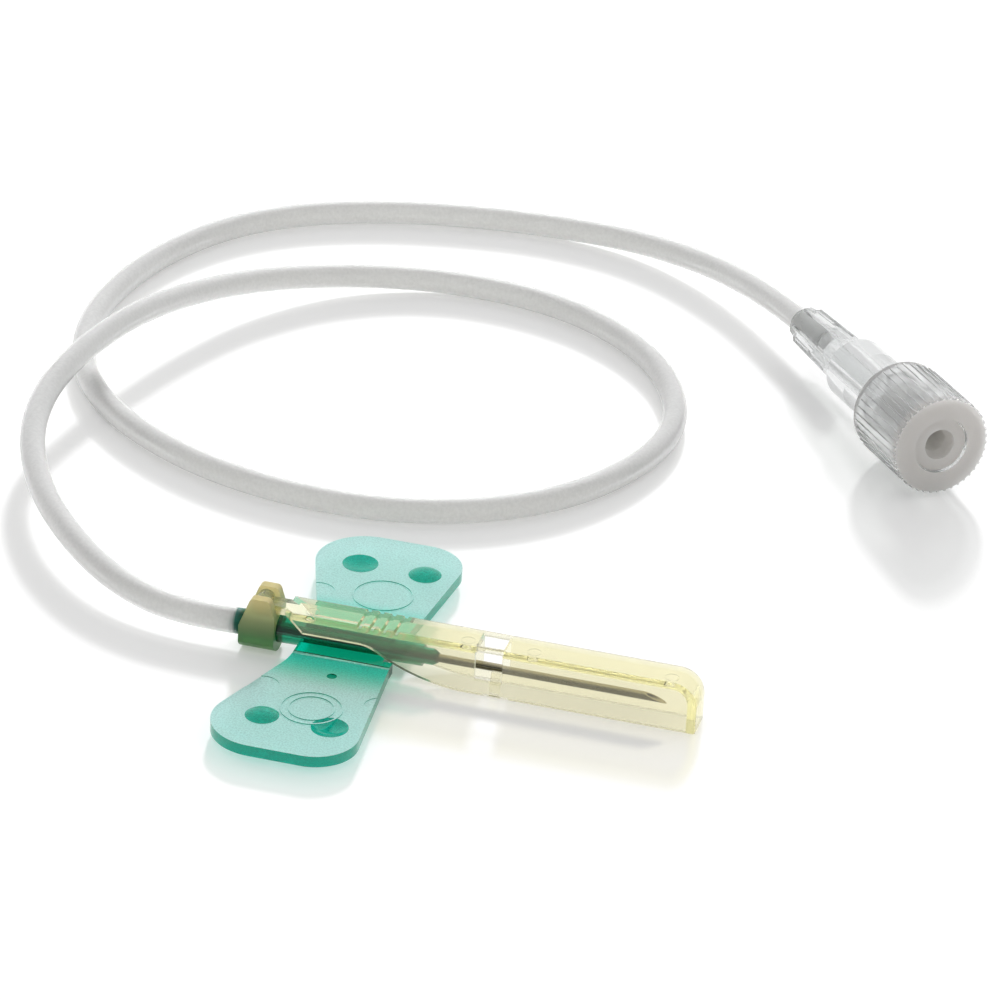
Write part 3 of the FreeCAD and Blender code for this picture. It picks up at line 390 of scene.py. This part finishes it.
def facing_up(tree, low, high):
    """1 on faces that look up or down in the piece's own frame, 0 on its sides."""
    level = math_result(tree, "ABSOLUTE", coordinate(tree, own_normal(tree), "Z"))
    return ranged(tree, level, low, high)


def facing_along(tree, axis, low, high):
    """1 on faces that look along an axis of the piece's own frame, 0 on the others."""
    return ranged(tree, vector_result(tree, "DOT_PRODUCT", own_normal(tree), axis), low, high)


def on_faces(tree, facing, top, slack):
    """The part of a facing factor at a plate's top, within a slack, or in the lower half of its height."""
    level = coordinate(tree, own_place(tree), "Z")
    at_top = math_result(tree, "COMPARE", level, top, slack)
    below = math_result(tree, "LESS_THAN", level, top / 2)
    return math_result(tree, "MULTIPLY", math_result(tree, "ADD", at_top, below), facing)


def away_from_fold(tree, low, high):
    """0 near the needle's middle plane and 1 further out, smoothly between two distances from it."""
    reach = math_result(tree, "ABSOLUTE", coordinate(tree, own_place(tree), "Y"))
    return ranged(tree, reach, low, high, interpolation_type="SMOOTHSTEP")


def near_axis(tree, point, axis, radius):
    """1 on surfaces that lie nearer than a radius to a line through a point, 0 elsewhere."""
    offset = vector_result(tree, "SUBTRACT", own_place(tree), point)
    across = vector_result(tree, "CROSS_PRODUCT", offset, axis)
    return math_result(tree, "LESS_THAN", vector_result(tree, "LENGTH", across), radius)


def clear_plastic(name, tint, shadow_tint, rough=(0.03, 0.08), milk=0.08, ior=1.5, depth_color=None,
                  depth=0.0, grain_scale=4000.0, relief=0.05):
    """Clear moulded plastic. Its milk is the part of the light that doesn't pass."""
    material, tree = new_material(name)
    noise = noise_over(tree, grain_scale)
    shell = add_node(tree, "ShaderNodeBsdfPrincipled", base_color=opaque(tint),
                     roughness=noise_range(tree, noise, *rough), ior=ior, transmission_weight=1.0 - milk,
                     normal=ripple_of(tree, noise, relief, 0.02))
    volume = absorbing(tree, depth_color, depth) if depth_color is not None else None
    finish_tree(tree, let_lamps_through(tree, shell.outputs[0], shadow_tint), volume)
    return material


def wing_plastic():
    """Sea-green plastic with a spark-eroded grain on its flat faces and gloss on its edges and dimples. Painted
    shade makes it greener near the root and darker on its edges and dimples.
    """
    plastics = settings("infusion_plastics")
    material, tree = new_material("sea_green_grained")
    flat = on_faces(tree, facing_up(tree, 0.985, 0.998), WING_TOP_MM * MM, 0.1 * MM)
    noise = noise_over(tree, 6000.0, detail=4.0)
    painted_shade_fades_from, painted_shade_gone_at = (reach * MM for reach in WING_PAINTED_SHADE_MM)
    # Painted shade near the root, fading out towards the wing's pale outer faces
    face = between(tree, away_from_fold(tree, painted_shade_fades_from, painted_shade_gone_at), WING_ROOT_PAINTED_SHADE, WING_OUTER)
    # Painted shade: everything but the flat faces gets the darker side colour
    tone = scaled(tree, between(tree, flat, WING_SIDES_PAINTED_SHADE, face), noise_range(tree, noise, 0.72, 1.12))
    relief = math_result(tree, "MULTIPLY", flat, 0.8)
    shell = add_node(tree, "ShaderNodeBsdfPrincipled", base_color=tone,
                     roughness=ranged(tree, flat, 0.0, 1.0, 0.06, 0.42), ior=1.5,
                     transmission_weight=ranged(tree, flat, 0.0, 1.0, 0.96, 0.58),
                     specular_ior_level=0.35, normal=ripple_of(tree, noise, relief, 0.05))
    finish_tree(tree, let_lamps_through(tree, shell.outputs[0], WING_SHADOW),
                absorbing(tree, plastics.green, plastics.green_depth))
    return material


def hub_plastic():
    """Deep sea-green plastic: the round barrel is painted darker than the flat wing roots, as painted shade, and
    the upward flats lighter.
    """
    plastics = settings("infusion_plastics")
    material, tree = new_material("sea_green_clear")
    flat = facing_up(tree, 0.97, 0.995)
    noise = noise_over(tree, 4000.0)
    # Painted shade: the barrel's colour is darker than the flats' by facing alone
    shell = add_node(tree, "ShaderNodeBsdfPrincipled", base_color=between(tree, flat, HUB_BARREL_PAINTED_SHADE, HUB_FLATS),
                     roughness=noise_range(tree, noise, 0.03, 0.09), ior=1.5, transmission_weight=0.95,
                     normal=ripple_of(tree, noise, 0.08, 0.02))
    finish_tree(tree, let_lamps_through(tree, shell.outputs[0], HUB_SHADOW),
                absorbing(tree, plastics.deep_green, plastics.deep_green_depth))
    return material


def tube_plastic():
    """Soft milky tubing that passes light on inside its wall. The green spigot shows through its end."""
    material, tree = new_material("tube_plastic")
    noise = noise_over(tree, 3000.0)
    reach = vector_result(tree, "DISTANCE", own_place(tree), Vector(TUBE_END_MM) * MM)
    shows_to, ends_at = (distance * MM for distance in SPIGOT_SHOWS_MM)
    free = ranged(tree, reach, shows_to, ends_at)
    shade = between(tree, free, TUBE_OVER_SPIGOT, TUBE_MILK)
    tone = scaled(tree, shade, noise_range(tree, noise, 0.95, 1.04))
    shell = add_node(tree, "ShaderNodeBsdfPrincipled", base_color=tone, roughness=0.25, ior=1.45,
                     transmission_weight=0.16, subsurface_weight=1.0, subsurface_scale=5.0 * MM,
                     subsurface_radius=EVEN_SPREAD, normal=ripple_of(tree, noise, 0.2, 0.03))
    finish_tree(tree, let_lamps_through(tree, shell.outputs[0], TUBE_SHADOW))
    return material


def collar_plastic():
    """Frosted pale-yellow plastic with painted shade that darkens it downwards, tinted with the green of the hub
    that lies behind it.
    """
    material, tree = new_material("collar_plastic")
    foot, top = (level * MM for level in COLLAR_PAINTED_SHADE_MM)
    # Painted shade: the colour darkens and greens from the top down to the foot
    rise = ranged(tree, coordinate(tree, own_place(tree), "Z"), foot, top)
    shell = add_node(tree, "ShaderNodeBsdfPrincipled",
                     base_color=between(tree, rise, COLLAR_FOOT_PAINTED_SHADE, COLLAR_TOP),
                     roughness=0.38, ior=1.5, transmission_weight=0.55,
                     normal=ripple_of(tree, noise_over(tree, 5000.0), 0.3, 0.03))
    finish_tree(tree, let_lamps_through(tree, shell.outputs[0], COLLAR_SHADOW))
    return material


def cap_plastic():
    """Clear ribbed skirt with a frosted front face and plug."""
    material, tree = new_material("cap_plastic")
    plug = near_axis(tree, connector_mouth(), cap_axis(), CAP_PLUG_MM * MM)
    front = math_result(tree, "MAXIMUM", plug, facing_along(tree, cap_axis(), 0.9, 0.97))
    shell = add_node(tree, "ShaderNodeBsdfPrincipled", base_color=between(tree, front, CAP_SKIRT, CAP_FROST),
                     roughness=ranged(tree, front, 0.0, 1.0, 0.05, 0.5), ior=1.48,
                     transmission_weight=ranged(tree, front, 0.0, 1.0, 0.82, 0.25),
                     subsurface_weight=1.0, subsurface_scale=2.0 * MM, subsurface_radius=EVEN_SPREAD,
                     normal=ripple_of(tree, noise_over(tree, 5000.0), 0.12, 0.03))
    finish_tree(tree, let_lamps_through(tree, shell.outputs[0], CAP_SHADOW))
    return material


def steel():
    """Needle steel with fine drawing lines, with painted shade at its sides and a painted highlight on top."""
    material, tree = new_material("needle_steel")
    drawn = add_node(tree, "ShaderNodeMapping", vector=own_place(tree), scale=(300.0, 14000.0, 14000.0))
    noise = noise_over(tree, 1.0, detail=2.0, place=drawn.outputs[0])
    # Painted highlight on the upward faces, painted shade elsewhere
    painted_highlight_mask = facing_along(tree, (0.0, 0.0, 1.0), 0.45, 0.9)
    shell = add_node(tree, "ShaderNodeBsdfPrincipled",
                     base_color=between(tree, painted_highlight_mask, STEEL_SIDES_PAINTED_SHADE, STEEL_TOP_PAINTED_HIGHLIGHT), metallic=1.0,
                     roughness=noise_range(tree, noise, 0.12, 0.3), normal=ripple_of(tree, noise, 0.2, 0.01))
    finish_tree(tree, shell.outputs[0])
    return material


def dress(node_name, material):
    """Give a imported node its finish."""
    for slot in frame["nodes"][node_name].material_slots:
        slot.material = material


def mesh_piece(name, vertices, faces, material, smooth=True):
    """Mesh object in the scene."""
    mesh = bpy.data.meshes.new(name)
    mesh.from_pydata(vertices, [], faces)
    mesh.update()
    if smooth:
        mesh.shade_smooth()
    mesh.materials.append(material)
    piece = bpy.data.objects.new(name, mesh)
    bpy.context.scene.collection.objects.link(piece)
    return piece


def route_line():
    """Points along the tube's smooth middle line, read from one open spline."""
    axis = cap_axis()
    entry = connector_mouth() - axis * CONNECTOR_LENGTH_MM * MM
    points = [Vector(point) * MM for point in (TUBE_END_MM, *ROUTE_MM)]
    points.append(entry - axis * STRAIGHT_RUN_MM * MM)
    points.append(entry + axis * SOCKET_DEPTH_MM * MM)
    curve = bpy.data.curves.new("tube_route", "CURVE")
    curve.dimensions = "3D"
    curve.resolution_u = 12
    spline = curve.splines.new("NURBS")
    spline.points.add(len(points) - 1)
    for place, point in zip(spline.points, points):
        place.co = (*point, 1.0)
    spline.order_u = 3
    spline.use_endpoint_u = True
    holder = bpy.data.objects.new("tube_route", curve)
    line = bpy.data.meshes.new_from_object(holder)
    path = [vertex.co.copy() for vertex in line.vertices]
    bpy.data.objects.remove(holder)
    bpy.data.curves.remove(curve)
    bpy.data.meshes.remove(line)
    return path


def sweep(path, radius, sides, inward=False):
    """Rings and faces of a round tube's wall along a path."""
    vertices = []
    faces = []
    side = (path[1] - path[0]).cross(Vector((0.0, 0.0, 1.0))).normalized()
    for index, point in enumerate(path):
        ahead = path[min(index + 1, len(path) - 1)]
        behind = path[max(index - 1, 0)]
        along = (ahead - behind).normalized()
        side = (side - along * side.dot(along)).normalized()
        up = side.cross(along)
        for step in range(sides):
            angle = 2.0 * math.pi * step / sides
            vertices.append(point + (side * math.cos(angle) + up * math.sin(angle)) * radius)
    for ring in range(len(path) - 1):
        for step in range(sides):
            following = (step + 1) % sides
            face = (ring * sides + step, ring * sides + following,
                    (ring + 1) * sides + following, (ring + 1) * sides + step)
            faces.append(face[::-1] if inward else face)
    return vertices, faces


class INFUSION_OT_tube(bpy.types.Operator):
    """Lay the flexible tube along its route"""

    bl_idname = "infusion.tube"
    bl_label = "Tube"

    def execute(self, context):
        tube = settings("infusion_tube")
        path = route_line()
        outer, outer_faces = sweep(path, tube.diameter / 2, tube.sides)
        inner, inner_faces = sweep(path, tube.bore / 2, tube.sides, inward=True)
        shift = len(outer)
        faces = outer_faces + [tuple(corner + shift for corner in face) for face in inner_faces]
        for start, flip in ((0, True), (shift - tube.sides, False)):
            for step in range(tube.sides):
                following = (step + 1) % tube.sides
                face = (start + step, start + following, start + following + shift, start + step + shift)
                faces.append(face[::-1] if flip else face)
        piece = mesh_piece("flexible_tube", outer + inner, faces, tube_plastic())
        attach(piece, "hub_unit")
        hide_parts("tube")
        return {"FINISHED"}


class INFUSION_OT_hub(bpy.types.Operator):
    """Finish the hub and both wings"""

    bl_idname = "infusion.hub"
    bl_label = "Hub and wings"

    def execute(self, context):
        wings = wing_plastic()
        dress("wing_left", wings)
        dress("wing_right", wings)
        dress("hub", hub_plastic())
        return {"FINISHED"}


def film_strip(fold, material, name):
    """Rounded strip of film along a fold line."""
    angles = [math.pi * corner / (FILM_CORNERS - 1) for corner in range(FILM_CORNERS)]
    section = []
    for angle in angles:
        across = fold.y + FILM_HALF_MM * MM * math.cos(angle)
        height = fold.z + FILM_LIFT_MM * MM + FILM_RISE_MM * MM * math.sin(angle)
        section.append((across, height))
    vertices = [(end * MM, *place) for end in HUB_PLATE_MM for place in section]
    faces = [tuple(range(FILM_CORNERS)), tuple(reversed(range(FILM_CORNERS, 2 * FILM_CORNERS)))]
    for corner in range(FILM_CORNERS):
        following = (corner + 1) % FILM_CORNERS
        faces.append((following, corner, corner + FILM_CORNERS, following + FILM_CORNERS))
    return mesh_piece(name, vertices, faces, material)


class INFUSION_OT_folds(bpy.types.Operator):
    """Lay the thin film that each wing folds at"""

    bl_idname = "infusion.folds"
    bl_label = "Fold films"

    def execute(self, context):
        # The film's pale, mostly milky colour is a painted highlight along each fold
        film = clear_plastic("fold_film_painted_highlight", FOLD_FILM_PAINTED_HIGHLIGHT, FILM_SHADOW, rough=(0.1, 0.35), milk=0.75,
                             grain_scale=1800.0, relief=0.6)
        for wing in ("wing_left", "wing_right"):
            joint = next(joint for joint in frame["joints"] if joint["name"] == wing + "_fold")
            fold = Vector(joint["pos_m"])
            strip = film_strip(fold, film, wing + "_film")
            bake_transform(strip)
        return {"FINISHED"}


class INFUSION_OT_needle(bpy.types.Operator):
    """Finish the needle"""

    bl_idname = "infusion.needle"
    bl_label = "Needle"

    def execute(self, context):
        dress("needle", steel())
        return {"FINISHED"}


class INFUSION_OT_collar(bpy.types.Operator):
    """Finish the hinge collar"""

    bl_idname = "infusion.collar"
    bl_label = "Hinge collar"

    def execute(self, context):
        dress("hinge_collar", collar_plastic())
        return {"FINISHED"}


class INFUSION_OT_shield(bpy.types.Operator):
    """Finish the safety shield"""

    bl_idname = "infusion.shield"
    bl_label = "Safety shield"

    def execute(self, context):
        plastics = settings("infusion_plastics")
        # The index is below the real plastic's, so that less light is trapped in the thin walls
        straw_clear = clear_plastic("straw_clear", SHIELD_CLEAR, SHIELD_SHADOW, milk=0.10, ior=1.29,
                                    depth_color=plastics.straw, depth=plastics.straw_depth,
                                    grain_scale=1500.0, relief=0.03)
        dress("safety_shield", straw_clear)
        return {"FINISHED"}


class INFUSION_OT_connector(bpy.types.Operator):
    """Finish the lock connector"""

    bl_idname = "infusion.connector"
    bl_label = "Lock connector"

    def execute(self, context):
        clear = clear_plastic("connector_clear", CONNECTOR_CLEAR, CONNECTOR_SHADOW, milk=0.06)
        dress("lock_connector", clear)
        return {"FINISHED"}


class INFUSION_OT_cap(bpy.types.Operator):
    """Finish the closing cap"""

    bl_idname = "infusion.cap"
    bl_label = "Closing cap"

    def execute(self, context):
        dress("closing_cap", cap_plastic())
        return {"FINISHED"}


def place_camera(stage):
    """Camera at the photograph's angle."""
    aimed = Vector((-9.425, -5.1, 0.0)) * MM
    aimed_pixel = (350.0, 690.0)
    picture = 1000.0
    sensor = 36.0
    focal_pixels = stage.focal / sensor * picture
    sin_a, cos_a = math.sin(stage.azimuth), math.cos(stage.azimuth)
    sin_e, cos_e = math.sin(stage.elevation), math.cos(stage.elevation)
    back = Vector((sin_a * cos_e, -cos_a * cos_e, sin_e))
    level = Vector((cos_a, sin_a, 0.0))
    upright = back.cross(level)
    right = level * math.cos(stage.roll) + upright * math.sin(stage.roll)
    up = upright * math.cos(stage.roll) - level * math.sin(stage.roll)
    across = (aimed_pixel[0] - picture / 2) / focal_pixels
    down = (aimed_pixel[1] - picture / 2) / focal_pixels
    place = aimed - (right * across - up * down - back) * stage.distance
    data = bpy.data.cameras.new("camera")
    data.lens = stage.focal
    data.sensor_width = sensor
    data.clip_start = 0.01
    data.clip_end = 20.0
    camera = bpy.data.objects.new("camera", data)
    turn = Matrix((right, up, back)).transposed()
    camera.matrix_world = Matrix.Translation(place) @ turn.to_4x4()
    bpy.context.scene.collection.objects.link(camera)
    bpy.context.scene.camera = camera


def area_lamp(name, azimuth, elevation, distance, size, watts, aim=(-0.01, 0.04, 0.0)):
    """Round lamp that looks at the object. Azimuth 0 stands in front, on -Y, and 180 behind."""
    azimuth, elevation = math.radians(azimuth), math.radians(elevation)
    away = Vector((math.sin(azimuth) * math.cos(elevation), -math.cos(azimuth) * math.cos(elevation),
                   math.sin(elevation)))
    data = bpy.data.lights.new(name, "AREA")
    data.energy = watts
    data.shape = "DISK"
    data.size = size
    lamp = bpy.data.objects.new(name, data)
    lamp.location = Vector(aim) + away * distance
    lamp.visible_glossy = False
    lamp.visible_transmission = False
    lamp.rotation_mode = "QUATERNION"
    lamp.rotation_quaternion = away.to_track_quat("Z", "Y")
    bpy.context.scene.collection.objects.link(lamp)


def floor_material(glow):
    """Plain white floor that keeps the object's shadow."""
    material, tree = new_material("white_floor")
    rays = add_node(tree, "ShaderNodeLightPath").outputs
    seen = math_result(tree, "MAXIMUM", rays["Is Camera Ray"], rays["Is Glossy Ray"])
    seen = math_result(tree, "MAXIMUM", seen, rays["Is Transmission Ray"])
    white = add_node(tree, "ShaderNodeBsdfDiffuse", color=opaque(FLOOR_WHITE))
    light = add_node(tree, "ShaderNodeEmission", strength=math_result(tree, "MULTIPLY", seen, glow))
    both = add_node(tree, "ShaderNodeAddShader", white.outputs[0], light.outputs[0])
    finish_tree(tree, both.outputs[0])
    return material


def white_world(behind, front):
    """Pale studio around the object, dimmer in front and above, and white where the camera sees it."""
    world = bpy.data.worlds.new("studio")
    world.use_nodes = True
    tree = world.node_tree
    tree.nodes.clear()
    camera_ray = add_node(tree, "ShaderNodeLightPath").outputs["Is Camera Ray"]
    way = add_node(tree, "ShaderNodeTexCoord").outputs["Generated"]
    brighter_way = (0.0, 0.85, -0.53)
    strength = ranged(tree, vector_result(tree, "DOT_PRODUCT", way, brighter_way), -0.7, 0.35, front, behind)
    around = add_node(tree, "ShaderNodeBackground", color=opaque(WHITE), strength=strength)
    seen = add_node(tree, "ShaderNodeBackground", color=opaque(WHITE), strength=1.0)
    mix = add_node(tree, "ShaderNodeMixShader", camera_ray, around.outputs[0], seen.outputs[0])
    output = add_node(tree, "ShaderNodeOutputWorld")
    tree.links.new(mix.outputs[0], output.inputs["Surface"])
    bpy.context.scene.world = world


class INFUSION_OT_stage(bpy.types.Operator):
    """Set up the floor, the lamp and the camera"""

    bl_idname = "infusion.stage"
    bl_label = "Stage"

    def execute(self, context):
        stage = settings("infusion_stage")
        half = 1.5
        drop = -0.05 * MM
        corners = [(-half, -half, drop), (half, -half, drop), (half, half, drop), (-half, half, drop)]
        floor = mesh_piece("floor", corners, [(0, 1, 2, 3)], floor_material(stage.floor_glow), smooth=False)
        area_lamp("back_lamp", azimuth=191.0, elevation=24.5, distance=2.5, size=0.26, watts=stage.key_watts)
        white_world(stage.sky, stage.front_sky)
        place_camera(stage)
        context.scene.view_settings.view_transform = "Standard"
        return {"FINISHED"}


class INFUSION_PT_panel(bpy.types.Panel):
    """Lists the infusion set's pieces and settings"""

    bl_idname = "INFUSION_PT_panel"
    bl_label = "Infusion Set"
    bl_space_type = "VIEW_3D"
    bl_region_type = "UI"
    bl_category = "Infusion Set"

    def draw(self, context):
        for operator in OPERATORS:
            self.layout.operator(operator.bl_idname)
        for group in SETTINGS:
            box = self.layout.box()
            for field in SETTINGS[group].__annotations__:
                box.prop(settings(group), field)


SETTINGS = {
    "infusion_stage": InfusionStageSettings,
    "infusion_tube": InfusionTubeSettings,
    "infusion_plastics": InfusionPlasticSettings,
}
OPERATORS = (
    INFUSION_OT_stage,
    INFUSION_OT_tube,
    INFUSION_OT_hub,
    INFUSION_OT_folds,
    INFUSION_OT_needle,
    INFUSION_OT_collar,
    INFUSION_OT_shield,
    INFUSION_OT_connector,
    INFUSION_OT_cap,
)
CLASSES = (*SETTINGS.values(), *OPERATORS, INFUSION_PT_panel)


def register():
    """Make the settings, the operators and the panel known to Blender."""
    for item in CLASSES:
        bpy.utils.register_class(item)
    for name, group in SETTINGS.items():
        setattr(bpy.types.Scene, name, bpy.props.PointerProperty(type=group))


def unregister():
    """Take them out again."""
    for name in SETTINGS:
        delattr(bpy.types.Scene, name)
    for item in reversed(CLASSES):
        bpy.utils.unregister_class(item)


def main():
    """Run every operator."""
    register()
    for operator in OPERATORS:
        group, name = operator.bl_idname.split(".")
        getattr(getattr(bpy.ops, group), name)()


if __name__ == "__main__":
    main()
